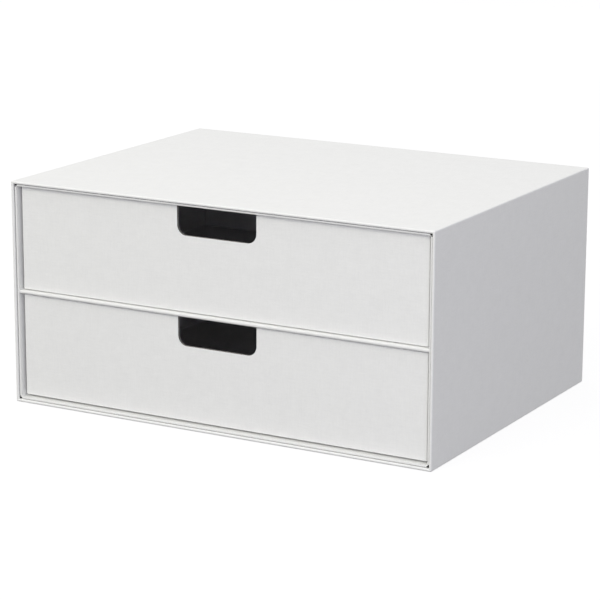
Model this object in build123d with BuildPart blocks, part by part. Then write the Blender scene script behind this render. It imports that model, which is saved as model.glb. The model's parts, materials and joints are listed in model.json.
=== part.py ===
from build123d import *
import os

# Mini chest with two drawers, made of papered greyboard and folded card.
# Millimetres. X runs across the front, the front faces -Y, Z is up,
# and the origin is the middle of the underside.

# Closed chest, outside
width = 330.0
depth = 250.0
height = 160.0

# Papered board: greyboard with cover paper on both faces and over its edges
cover_paper = 0.25
sleeve_board = 1.5
drawer_board = 1.5
sleeve_edge_round = 0.9
drawer_edge_round = 0.6

# Outer sleeve: how far its paper turns in at the open ends, and under the base
end_turn_in = 15.0
base_flap = 18.0

# Back panel, let in between the sleeve's rear edges
back_inset = 0.6

# Inner sleeve: one strip of card folded into a tube, slid in behind the outer sleeve's front edge.
# At the folds a groove is cut from its outside, down to a skin
liner_card = 1.4
liner_clearance = 0.25
liner_setback = 1.4
fold_skin = 0.35
fold_groove = 0.9

# Shelf between the drawers, just above the middle: card doubled over at the front,
# held by tabs in the inner sleeve
shelf_card = 2.6
shelf_lift = 0.4
shelf_setback = 0.6
shelf_nose_radius = 1.2
tab_length = 40.0
tab_spacing = 120.0
slot_clearance = 0.1

# Drawers: papered trays that slide on the inner sleeve and on the shelf
drawer_recess = 4.8
side_clearance = 2.1
upper_foot_clearance = 0.5
lower_foot_clearance = 1.4
head_clearance = 0.7
rear_clearance = 0.4
rim_band = 3.0

# Finger cut-out in the rim of each drawer front
grip_width = 62.0
grip_depth = 20.2
grip_radius = 7.0

# Walls and roundings that follow from the sheets
sleeve_wall = sleeve_board + 2 * cover_paper
drawer_wall = drawer_board + 2 * cover_paper
sleeve_round = min(sleeve_edge_round, 0.45 * sleeve_board + cover_paper)
core_round = sleeve_round - cover_paper
drawer_round = min(drawer_edge_round, 2.3 * cover_paper)
liner_skin = min(fold_skin, 0.5 * liner_card)
liner_round = 0.8 * liner_skin
shelf_nose = min(shelf_nose_radius, 0.48 * shelf_card)

# Cells for the drawers
liner_edge = sleeve_wall + liner_clearance
cell_edge = liner_edge + liner_card
cell_width = width - 2 * cell_edge
cell_height = height - 2 * cell_edge
shelf_underside = (height - shelf_card) / 2 + shelf_lift
lower_floor = cell_edge
upper_floor = shelf_underside + shelf_card
lower_foot = lower_floor + lower_foot_clearance
upper_foot = upper_floor + upper_foot_clearance
lower_room = shelf_underside - lower_foot
upper_room = height - cell_edge - upper_foot

# Depths, from the front edge of the sleeve to the back panel
front_edge = -depth / 2
liner_front = front_edge + liner_setback
shelf_front = liner_front + shelf_setback
back_face = depth / 2 - back_inset
cell_back = back_face - sleeve_wall

# Drawer, outside: both are alike, and the tighter cell sets the height
drawer_width = cell_width - 2 * side_clearance
drawer_height = min(lower_room, upper_room) - head_clearance
drawer_front = front_edge + drawer_recess
drawer_back = cell_back - rear_clearance
drawer_depth = drawer_back - drawer_front
drawer_middle = (drawer_front + drawer_back) / 2

os.makedirs("parts", exist_ok=True)


def upright(y):
    """Sketch plane facing the front at depth y: X across, Y up. Negative extrusions go to the rear."""
    return Plane.XZ.offset(-y)


def save(piece, name):
    piece.part.label = name
    export_step(piece.part, f"parts/{name}.step")


def sleeve_corners(inset):
    """Corners of the sleeve's section, inset from its outside, from lower left round to upper left."""
    side = width / 2 - inset
    return [(-side, inset), (side, inset), (side, height - inset), (-side, height - inset)]


def sleeve_ring(outer_inset, inner_inset):
    """Ring of the sleeve's section between two insets, drawn in the sketch at hand."""
    with Locations((0, height / 2)):
        Rectangle(width - 2 * outer_inset, height - 2 * outer_inset)
        Rectangle(width - 2 * inner_inset, height - 2 * inner_inset, mode=Mode.SUBTRACT)


def sleeve_edges(sleeve):
    """Edges of a plain sleeve that are rounded: the long outer folds and all round the open ends."""
    outside_faces = sleeve.faces().filter_by(Axis.X).sort_by(Axis.X)
    long_folds = (outside_faces[0].edges() + outside_faces[-1].edges()).filter_by(Axis.Y)
    open_ends = sleeve.faces().filter_by(Axis.Y)
    return long_folds + open_ends.edges()


def flap_waste(half_span):
    """Corners cut from turned-in flaps at 45 degrees, in the sketch at hand: X along the fold, Y in depth."""
    for side in (-1, 1):
        for end in (-1, 1):
            fold = end * (depth / 2 - sleeve_round)
            corner = side * half_span
            tip = fold - end * end_turn_in
            Polygon((corner, fold), (corner, tip), (corner - side * end_turn_in, tip), align=None)


def grip_outline(rim):
    """Edges of the finger cut-out below a drawer's rim, closed well above the rim."""
    side = grip_width / 2
    bottom = rim - grip_depth
    top = rim + grip_depth
    corners = [(-side, top), (-side, bottom), (side, bottom), (side, top)]
    with BuildLine() as outline:
        FilletPolyline(*corners, radius=grip_radius)
        Line(corners[-1], corners[0])
    return outline.edges()


# Core of the outer sleeve: all its board, rounded at the folds and at the open ends
with BuildPart() as sleeve_core:
    with BuildSketch(upright(front_edge + cover_paper)):
        sleeve_ring(cover_paper, cover_paper + sleeve_board)
    extrude(amount=-(depth - 2 * cover_paper))
    fillet(sleeve_edges(sleeve_core), core_round)

# Outer sleeve: the core's four boards, mitred where the sleeve folds
mitre_outside = sleeve_corners(0)
mitre_inside = sleeve_corners(sleeve_wall)
board_names = ["outer_bottom_board", "outer_right_board", "outer_top_board", "outer_left_board"]

for first, board_name in enumerate(board_names):
    second = (first + 1) % len(board_names)
    with BuildPart() as sleeve_side:
        with BuildSketch(upright(front_edge)):
            with BuildLine():
                Polyline(
                    mitre_outside[first],
                    mitre_outside[second],
                    mitre_inside[second],
                    mitre_inside[first],
                    close=True,
                )
            make_face()
        extrude(amount=-depth)
        add(sleeve_core.part, mode=Mode.INTERSECT)
    save(sleeve_side, board_name)

# Cover paper of the outer sleeve: outside, over the front and rear edges, turned in and under the base
with BuildPart() as outer_cover:
    with BuildSketch(upright(front_edge)):
        sleeve_ring(0, sleeve_wall)
    extrude(amount=-depth)
    fillet(sleeve_edges(outer_cover), sleeve_round)
    add(sleeve_core.part, mode=Mode.SUBTRACT)
    with BuildSketch(upright(front_edge + end_turn_in)):
        sleeve_ring(cover_paper + sleeve_board, sleeve_wall)
    extrude(amount=-(depth - 2 * end_turn_in), mode=Mode.SUBTRACT)
    for flap in (cover_paper + sleeve_board, height - sleeve_wall):
        with BuildSketch(Plane.XY.offset(flap)):
            flap_waste(width / 2 - cover_paper - sleeve_board)
        extrude(amount=cover_paper, mode=Mode.SUBTRACT)
    for flap in (-width / 2 + cover_paper + sleeve_board, width / 2 - sleeve_wall):
        with BuildSketch(Plane((flap, 0, height / 2), x_dir=(0, 0, 1), z_dir=(1, 0, 0))):
            flap_waste(height / 2 - cover_paper - sleeve_board)
        extrude(amount=cover_paper, mode=Mode.SUBTRACT)
    with BuildSketch(Plane.XY):
        Rectangle(width - 2 * base_flap, depth - 2 * base_flap)
    extrude(amount=cover_paper, mode=Mode.SUBTRACT)
save(outer_cover, "outer_cover")

# Base sheet: paper pasted between the flaps under the base
with BuildPart() as base_sheet:
    with BuildSketch(Plane.XY):
        Rectangle(width - 2 * base_flap, depth - 2 * base_flap)
    extrude(amount=cover_paper)
save(base_sheet, "base_sheet")

# Back panel: lining, board and cover, from the cells outwards
back_layers = [("back_lining", cover_paper), ("back_board", sleeve_board), ("back_cover", cover_paper)]
layer_front = cell_back

for layer_name, layer_thickness in back_layers:
    with BuildPart() as back_layer:
        with BuildSketch(upright(layer_front)):
            with Locations((0, height / 2)):
                Rectangle(width - 2 * sleeve_wall, height - 2 * sleeve_wall)
        extrude(amount=-layer_thickness)
    save(back_layer, layer_name)
    layer_front += layer_thickness

# Inner sleeve: four panels of card that hang together by the skin round the inside of the folds,
# with slots for the shelf's tabs
with BuildPart() as liner_sleeve:
    with BuildSketch(upright(liner_front)):
        with Locations((0, height / 2)):
            Rectangle(width - 2 * liner_edge, cell_height - fold_groove)
            Rectangle(cell_width - fold_groove, height - 2 * liner_edge)
            Rectangle(cell_width + 2 * liner_skin, cell_height + 2 * liner_skin)
            Rectangle(cell_width, cell_height, mode=Mode.SUBTRACT)
    extrude(amount=-(cell_back - liner_front))
    front_rims = liner_sleeve.faces().sort_by(Axis.Y)[0].edges()
    fillet(front_rims.filter_by(lambda rim: rim.length > 2 * liner_card), liner_round)
    with BuildSketch(Plane.XY.offset(shelf_underside - slot_clearance)):
        with GridLocations(0, tab_spacing, 1, 2):
            Rectangle(width, tab_length + 2 * slot_clearance)
    extrude(amount=shelf_card + 2 * slot_clearance, mode=Mode.SUBTRACT)
save(liner_sleeve, "liner_sleeve")

# Shelf: plate with a rounded front edge and two tabs at each end
with BuildPart() as shelf:
    with BuildSketch(Plane.XY.offset(shelf_underside)):
        with Locations((0, (shelf_front + cell_back) / 2)):
            Rectangle(cell_width, cell_back - shelf_front)
        with GridLocations(0, tab_spacing, 1, 2):
            Rectangle(cell_width + 2 * liner_card, tab_length)
    extrude(amount=shelf_card)
    front_edges = shelf.faces().sort_by(Axis.Y)[0].edges().filter_by(Axis.X)
    fillet(front_edges, shelf_nose)
save(shelf, "shelf")


def make_drawer(drawer, foot):
    """Tray of five boards with a white wrap outside and a white lining inside, its underside at a height."""
    rim = foot + drawer_height
    board_foot = foot + cover_paper
    board_rim = rim - cover_paper
    lining_foot = board_foot + drawer_board
    inside_foot = lining_foot + cover_paper
    lining_rim = rim - rim_band

    # Plan sizes of the boards' outside, of the boards' inside and of the lined inside
    board_width = drawer_width - 2 * cover_paper
    board_depth = drawer_depth - 2 * cover_paper
    tray_width = board_width - 2 * drawer_board
    tray_depth = board_depth - 2 * drawer_board
    inside_width = drawer_width - 2 * drawer_wall
    inside_depth = drawer_depth - 2 * drawer_wall

    # Front board, its core left bare in the cut-out
    with BuildPart() as front_board:
        with BuildSketch(upright(drawer_front + cover_paper)):
            with Locations((0, (board_foot + board_rim) / 2)):
                Rectangle(board_width, board_rim - board_foot)
            make_face(grip_outline(rim), mode=Mode.SUBTRACT)
        extrude(amount=-drawer_board)
    save(front_board, f"{drawer}_front_board")

    with BuildPart() as back_board:
        with BuildSketch(upright(drawer_back - cover_paper - drawer_board)):
            with Locations((0, (board_foot + board_rim) / 2)):
                Rectangle(board_width, board_rim - board_foot)
        extrude(amount=-drawer_board)
    save(back_board, f"{drawer}_back_board")

    # Side boards, between the front and the back
    for side_name, side in (("left", -1), ("right", 1)):
        with BuildPart() as side_board:
            with BuildSketch(Plane.XY.offset(board_foot)):
                with Locations((side * (board_width - drawer_board) / 2, drawer_middle)):
                    Rectangle(drawer_board, tray_depth)
            extrude(amount=board_rim - board_foot)
        save(side_board, f"{drawer}_{side_name}_board")

    # Base board, inside the four walls
    with BuildPart() as base_board:
        with BuildSketch(Plane.XY.offset(board_foot)):
            with Locations((0, drawer_middle)):
                Rectangle(tray_width, tray_depth)
        extrude(amount=drawer_board)
    save(base_board, f"{drawer}_base_board")

    # Wrap: white paper over the outside and the rim, with a narrow band turned in below the rim
    with BuildPart() as wrap:
        with BuildSketch(Plane.XY.offset(foot)):
            with Locations((0, drawer_middle)):
                Rectangle(drawer_width, drawer_depth)
        extrude(amount=drawer_height)
        fillet(wrap.edges(), drawer_round)
        with BuildSketch(Plane.XY.offset(inside_foot)):
            with Locations((0, drawer_middle)):
                Rectangle(inside_width, inside_depth)
        extrude(amount=rim - inside_foot, mode=Mode.SUBTRACT)
        rim_face = wrap.faces().sort_by(Axis.Z)[-1]
        fillet(rim_face.inner_wires()[0].edges(), drawer_round)
        with BuildSketch(Plane.XY.offset(board_foot)):
            with Locations((0, drawer_middle)):
                Rectangle(board_width, board_depth)
                Rectangle(tray_width, tray_depth, mode=Mode.SUBTRACT)
        extrude(amount=board_rim - board_foot, mode=Mode.SUBTRACT)
        with BuildSketch(Plane.XY.offset(board_foot)):
            with Locations((0, drawer_middle)):
                Rectangle(tray_width, tray_depth)
        extrude(amount=lining_rim - board_foot, mode=Mode.SUBTRACT)
        with BuildSketch(upright(drawer_front)):
            make_face(grip_outline(rim))
        extrude(amount=-drawer_wall, mode=Mode.SUBTRACT)
    save(wrap, f"{drawer}_wrap")

    # Lining: white paper over the inside, up to the band that the wrap turns in
    with BuildPart() as lining:
        with BuildSketch(Plane.XY.offset(lining_foot)):
            with Locations((0, drawer_middle)):
                Rectangle(tray_width, tray_depth)
        extrude(amount=lining_rim - lining_foot)
        with BuildSketch(Plane.XY.offset(inside_foot)):
            with Locations((0, drawer_middle)):
                Rectangle(inside_width, inside_depth)
        extrude(amount=lining_rim - inside_foot, mode=Mode.SUBTRACT)
        with BuildSketch(upright(drawer_front)):
            make_face(grip_outline(rim))
        extrude(amount=-drawer_wall, mode=Mode.SUBTRACT)
    save(lining, f"{drawer}_lining")


for drawer_name, drawer_foot in (("lower_drawer", lower_foot), ("upper_drawer", upper_foot)):
    make_drawer(drawer_name, drawer_foot)
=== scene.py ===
import json
import math

import bpy
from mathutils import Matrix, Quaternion, Vector


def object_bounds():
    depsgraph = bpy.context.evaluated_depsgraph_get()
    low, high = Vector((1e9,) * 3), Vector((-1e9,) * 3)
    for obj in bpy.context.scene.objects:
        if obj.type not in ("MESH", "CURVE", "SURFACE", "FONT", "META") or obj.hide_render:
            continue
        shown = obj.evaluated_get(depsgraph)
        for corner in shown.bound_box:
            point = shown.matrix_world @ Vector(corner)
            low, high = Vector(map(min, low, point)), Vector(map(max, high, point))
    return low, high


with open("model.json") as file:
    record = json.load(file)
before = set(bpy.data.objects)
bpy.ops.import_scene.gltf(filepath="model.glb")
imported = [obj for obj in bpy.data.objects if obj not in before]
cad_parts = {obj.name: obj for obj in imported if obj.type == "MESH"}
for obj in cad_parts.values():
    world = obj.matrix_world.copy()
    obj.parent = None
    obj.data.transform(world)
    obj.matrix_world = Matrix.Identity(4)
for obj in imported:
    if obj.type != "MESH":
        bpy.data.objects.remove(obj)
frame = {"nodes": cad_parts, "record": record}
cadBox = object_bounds()
nodes = frame["nodes"]
mm = 0.001


# colour: sRGB hex to the linear values that shaders take
def linearColour(hexText):
    channels = [int(hexText[i:i + 2], 16) / 255 for i in (1, 3, 5)]
    return [c / 12.92 if c <= 0.04045 else ((c + 0.055) / 1.055) ** 2.4 for c in channels] + [1.0]


# adds one node, sets its properties and socket values, and links its inputs
def addNode(tree, kind, settings=None, values=None, links=None):
    node = tree.nodes.new(kind)
    for name, value in (settings or {}).items():
        setattr(node, name, value)
    for socket, value in (values or {}).items():
        node.inputs[socket].default_value = value
    for socket, source in (links or {}).items():
        tree.links.new(source, node.inputs[socket])
    return node


def newMaterial(name):
    material = bpy.data.materials.new(name)
    material.use_nodes = True
    material.node_tree.nodes.clear()
    return material, material.node_tree


# embossed cover paper, white with a matt varnish: even and chalky from afar, with a faint grain of
# short crossing threads and a slow cloud where the paper is thicker
coverPaper = {
    "colour": "#F0F0EE",
    "cloudMm": 9.0,
    "cloudTone": 0.022,
    "fibreMm": 1.0,           # the real grain is about 0.5 mm wide, drawn coarser to show
    "fibreRunMm": 9.0,
    "fibreTone": 0.03,
    "roughness": 0.72,
    "sheen": 0.25,
    "bumpMm": 0.02,
}

# bleached card, die-cut and doubled over: smooth, a little duller than the cover
foldedCard = {
    "colour": "#ECECEA",
    "cloudMm": 12.0,
    "cloudTone": 0.01,
    "fibreMm": 1.0,
    "fibreRunMm": 3.0,
    "fibreTone": 0.015,
    "roughness": 0.8,
    "sheen": 0.2,
    "bumpMm": 0.015,
}

# the same card folded round the drawers, its outer (back) faces given a dark colour as painted shade,
# which darkens the corner holes of the front
linerCard = foldedCard | {"paintedShadeBackColour": "#3F3B36"}

# uncoated white lining paper: soft and dull, with a faint fibre speckle
liningPaper = {
    "colour": "#E3E2E1",
    "cloudMm": 7.0,
    "cloudTone": 0.015,
    "fibreMm": 0.8,
    "fibreRunMm": 2.5,
    "fibreTone": 0.03,
    "roughness": 0.9,
    "sheen": 0.15,
    "bumpMm": 0.03,
}

# recycled greyboard, pressed and guillotined: warm grey, cloudy, with darker and paler flecks
greyBoard = {
    "colour": "#66625B",
    "cloudMm": 14.0,
    "cloudTone": 0.06,
    "fibreMm": 0.9,
    "fibreRunMm": 2.5,
    "fibreTone": 0.2,
    "roughness": 0.95,
    "sheen": 0.1,
    "bumpMm": 0.06,
}

# what all the sheets share
allSheets = {
    "ior": 1.47,              # cellulose
    "fibreDetail": 2.0,
    "fibreSpan": (1.0, 2.0),  # where most of the three summed noises lie
    "cloudDetail": 3.0,
    "roughnessSpread": 0.05,
    "bumpStrength": 0.5,
    "backReachMm": 50.0,      # a back faces away from the chest's middle, from at least this far out
}


def makeSheet(name, sheet):
    material, tree = newMaterial(name)
    place = addNode(tree, "ShaderNodeTexCoord")
    strands = []
    for axis in range(3):     # fibres along each axis, so every face shows two crossing ways
        stretch = [1 / (sheet["fibreMm"] * mm)] * 3
        stretch[axis] = 1 / (sheet["fibreRunMm"] * mm)
        spread = addNode(tree, "ShaderNodeVectorMath", {"operation": "MULTIPLY"}, {1: stretch},
                         {0: place.outputs["Object"]})
        strands.append(addNode(tree, "ShaderNodeTexNoise",
                               values={"Scale": 1.0, "Detail": allSheets["fibreDetail"]},
                               links={"Vector": spread.outputs[0]}))
    crossed = addNode(tree, "ShaderNodeMath", {"operation": "ADD"},
                      links={0: strands[0].outputs[0], 1: strands[1].outputs[0]})
    fibre = addNode(tree, "ShaderNodeMath", {"operation": "ADD"},
                    links={0: crossed.outputs[0], 1: strands[2].outputs[0]})
    cloud = addNode(tree, "ShaderNodeTexNoise",
                    values={"Scale": 1 / (sheet["cloudMm"] * mm), "Detail": allSheets["cloudDetail"]},
                    links={"Vector": place.outputs["Object"]})
    thin, thick = allSheets["fibreSpan"]
    fibreShade = addNode(tree, "ShaderNodeMapRange",
                         values={"From Min": thin, "From Max": thick,
                                 "To Min": 1 - sheet["fibreTone"], "To Max": 1 + sheet["fibreTone"]},
                         links={"Value": fibre.outputs[0]})
    cloudShade = addNode(tree, "ShaderNodeMapRange",
                         values={"To Min": 1 - sheet["cloudTone"], "To Max": 1 + sheet["cloudTone"]},
                         links={"Value": cloud.outputs[0]})
    shade = addNode(tree, "ShaderNodeMath", {"operation": "MULTIPLY"},
                    links={0: fibreShade.outputs[0], 1: cloudShade.outputs[0]})
    tint = addNode(tree, "ShaderNodeVectorMath", {"operation": "SCALE"},
                   {0: linearColour(sheet["colour"])[:3]}, {"Scale": shade.outputs[0]}).outputs[0]
    # painted shade: faces turned away from the chest's middle take the dark back colour, so the corner
    # holes of the front look shaded
    if "paintedShadeBackColour" in sheet:
        middle = (cadBox[0] + cadBox[1]) / 2
        outward = addNode(tree, "ShaderNodeVectorMath", {"operation": "SUBTRACT"}, {1: middle},
                          {0: place.outputs["Object"]})
        across = addNode(tree, "ShaderNodeVectorMath", {"operation": "MULTIPLY"}, {1: (1, 0, 1)},
                         {0: outward.outputs[0]})
        facing = addNode(tree, "ShaderNodeVectorMath", {"operation": "DOT_PRODUCT"},
                         links={0: across.outputs[0], 1: place.outputs["Normal"]})
        back = addNode(tree, "ShaderNodeMath", {"operation": "GREATER_THAN"},
                       {1: allSheets["backReachMm"] * mm}, {0: facing.outputs["Value"]})
        paintedShadeTint = addNode(tree, "ShaderNodeVectorMath", {"operation": "SCALE"},
                           {0: linearColour(sheet["paintedShadeBackColour"])[:3]}, {"Scale": shade.outputs[0]})
        tint = addNode(tree, "ShaderNodeMix", {"data_type": "VECTOR"},
                       links={0: back.outputs[0], 4: tint, 5: paintedShadeTint.outputs[0]}).outputs[1]
    rough = addNode(tree, "ShaderNodeMapRange",
                    values={"To Min": sheet["roughness"] - allSheets["roughnessSpread"],
                            "To Max": sheet["roughness"] + allSheets["roughnessSpread"]},
                    links={"Value": cloud.outputs[0]})
    bump = addNode(tree, "ShaderNodeBump",
                   values={"Strength": allSheets["bumpStrength"], "Distance": sheet["bumpMm"] * mm},
                   links={"Height": fibre.outputs[0]})
    paper = addNode(tree, "ShaderNodeBsdfPrincipled",
                    values={"IOR": allSheets["ior"], "Specular IOR Level": sheet["sheen"]},
                    links={"Base Color": tint, "Roughness": rough.outputs[0], "Normal": bump.outputs[0]})
    addNode(tree, "ShaderNodeOutputMaterial", links={0: paper.outputs[0]})
    return material


finishes = {
    "white_cover_paper": makeSheet("embossed cover paper", coverPaper),
    "white_card": makeSheet("doubled bleached card", foldedCard),
    "white_lining_paper": makeSheet("uncoated lining paper", liningPaper),
    "greyboard": makeSheet("pressed greyboard", greyBoard),
}

for subpart in frame["record"]["subparts"]:
    node = nodes[subpart["node"]]
    node.data.materials.clear()
    node.data.materials.append(finishes[subpart["material_slot"]])
nodes["liner_sleeve"].data.materials[0] = makeSheet("folding card with painted shade on its back", linerCard)
print("finishes set on", len(nodes), "nodes")


# camera: long lens, a little above the chest and to its right
viewpoint = {
    "placeMm": (822.9, -1466.4, 483.6),
    "azimuthDeg": 29.401,
    "downDeg": 13.883,
    "rollDeg": 0.156,
    "lensMm": 144.71,
    "sensorMm": 36.0,
}


def makeCamera():
    data = bpy.data.cameras.new("photo camera")
    data.lens = viewpoint["lensMm"]
    data.sensor_fit = "HORIZONTAL"
    data.sensor_width = viewpoint["sensorMm"]
    camera = bpy.data.objects.new("photo camera", data)
    azimuth = math.radians(viewpoint["azimuthDeg"])
    down = math.radians(viewpoint["downDeg"])
    ahead = Vector((-math.sin(azimuth) * math.cos(down), math.cos(azimuth) * math.cos(down),
                    -math.sin(down)))
    level = ahead.to_track_quat("-Z", "Y")
    camera.rotation_mode = "QUATERNION"
    camera.rotation_quaternion = level @ Quaternion((0, 0, 1), math.radians(viewpoint["rollDeg"]))
    camera.location = Vector(viewpoint["placeMm"]) * mm
    bpy.context.scene.collection.objects.link(camera)
    bpy.context.scene.camera = camera


makeCamera()


# stage: white sweep that keeps a soft shadow, an even pale sky and three softboxes
studio = {
    "floorM": 12.0,
    "floorDropMm": 0.1,        # just clear of the base
    "floorColour": "#F6F6F6",
    "floorBounce": "#606060",  # what the floor throws back on the chest
    "floorGlow": 1.07,
    "floorGlowShare": 0.78,    # the rest is plain paper that takes the chest's shadow
    "backdropColour": "#FFFFFF",
    "backdropLevel": 1.0,
    "skyColour": "#FCFCFF",
    "skyLevel": 0.815,
    "softboxes": {
        "left softbox": {
            "sizeM": (1.6, 0.9), "placeM": (-0.65, -1.75, 1.35), "watts": 14.4, "colour": "#FFFEEE",
        },
        "right softbox": {
            "sizeM": (1.6, 0.8), "placeM": (1.3, -1.8, 0.55), "watts": 12.8, "colour": "#EFEFFF",
        },
        "rear softbox": {
            "sizeM": (1.6, 0.3), "placeM": (-0.7, 2.2, 0.16), "watts": 6.0, "colour": "#FFFFFF",
        },
    },
    "aimM": (0.0, 0.0, 0.08),
}


# white to the camera and in reflections, plain light for everything else
def backdropRays(tree):
    path = addNode(tree, "ShaderNodeLightPath")
    seen = addNode(tree, "ShaderNodeMath", {"operation": "MAXIMUM"},
                   links={0: path.outputs["Is Camera Ray"], 1: path.outputs["Is Glossy Ray"]})
    return addNode(tree, "ShaderNodeMath", {"operation": "MAXIMUM"},
                   links={0: seen.outputs[0], 1: path.outputs["Is Transmission Ray"]})


def makeWorld():
    world = bpy.data.worlds.new("studio")
    bpy.context.scene.world = world
    world.use_nodes = True
    tree = world.node_tree
    tree.nodes.clear()
    seen = backdropRays(tree)
    sky = addNode(tree, "ShaderNodeBackground",
                  values={"Color": linearColour(studio["skyColour"]), "Strength": studio["skyLevel"]})
    white = addNode(tree, "ShaderNodeBackground",
                    values={"Color": linearColour(studio["backdropColour"]),
                            "Strength": studio["backdropLevel"]})
    light = addNode(tree, "ShaderNodeMixShader",
                    links={0: seen.outputs[0], 1: sky.outputs[0], 2: white.outputs[0]})
    addNode(tree, "ShaderNodeOutputWorld", links={0: light.outputs[0]})


def makeFloor():
    material, tree = newMaterial("white paper sweep")
    seen = backdropRays(tree)
    paper = addNode(tree, "ShaderNodeBsdfDiffuse",
                    values={"Color": linearColour(studio["floorColour"])})
    glow = addNode(tree, "ShaderNodeEmission", values={"Strength": studio["floorGlow"]})
    sweep = addNode(tree, "ShaderNodeMixShader", values={0: studio["floorGlowShare"]},
                    links={1: paper.outputs[0], 2: glow.outputs[0]})
    bounce = addNode(tree, "ShaderNodeBsdfDiffuse",
                     values={"Color": linearColour(studio["floorBounce"])})
    both = addNode(tree, "ShaderNodeMixShader",
                   links={0: seen.outputs[0], 1: bounce.outputs[0], 2: sweep.outputs[0]})
    addNode(tree, "ShaderNodeOutputMaterial", links={0: both.outputs[0]})
    half = studio["floorM"] / 2
    low = cadBox[0].z - studio["floorDropMm"] * mm
    corners = [(-half, -half, low), (half, -half, low), (half, half, low), (-half, half, low)]
    mesh = bpy.data.meshes.new("floor")
    mesh.from_pydata(corners, [], [range(len(corners))])
    mesh.materials.append(material)
    floor = bpy.data.objects.new("floor", mesh)
    bpy.context.scene.collection.objects.link(floor)


def makeSoftboxes():
    for name, box in studio["softboxes"].items():
        data = bpy.data.lights.new(name, "AREA")
        data.shape = "RECTANGLE"
        data.size, data.size_y = box["sizeM"]
        data.energy = box["watts"]
        data.color = linearColour(box["colour"])[:3]
        lamp = bpy.data.objects.new(name, data)
        lamp.location = box["placeM"]
        lamp.rotation_mode = "QUATERNION"
        lamp.rotation_quaternion = (Vector(studio["aimM"]) - lamp.location).to_track_quat("-Z", "Y")
        lamp.visible_camera = False
        bpy.context.scene.collection.objects.link(lamp)


makeWorld()
makeFloor()
makeSoftboxes()
bpy.context.scene.view_settings.view_transform = "Standard"
print("camera and studio set")
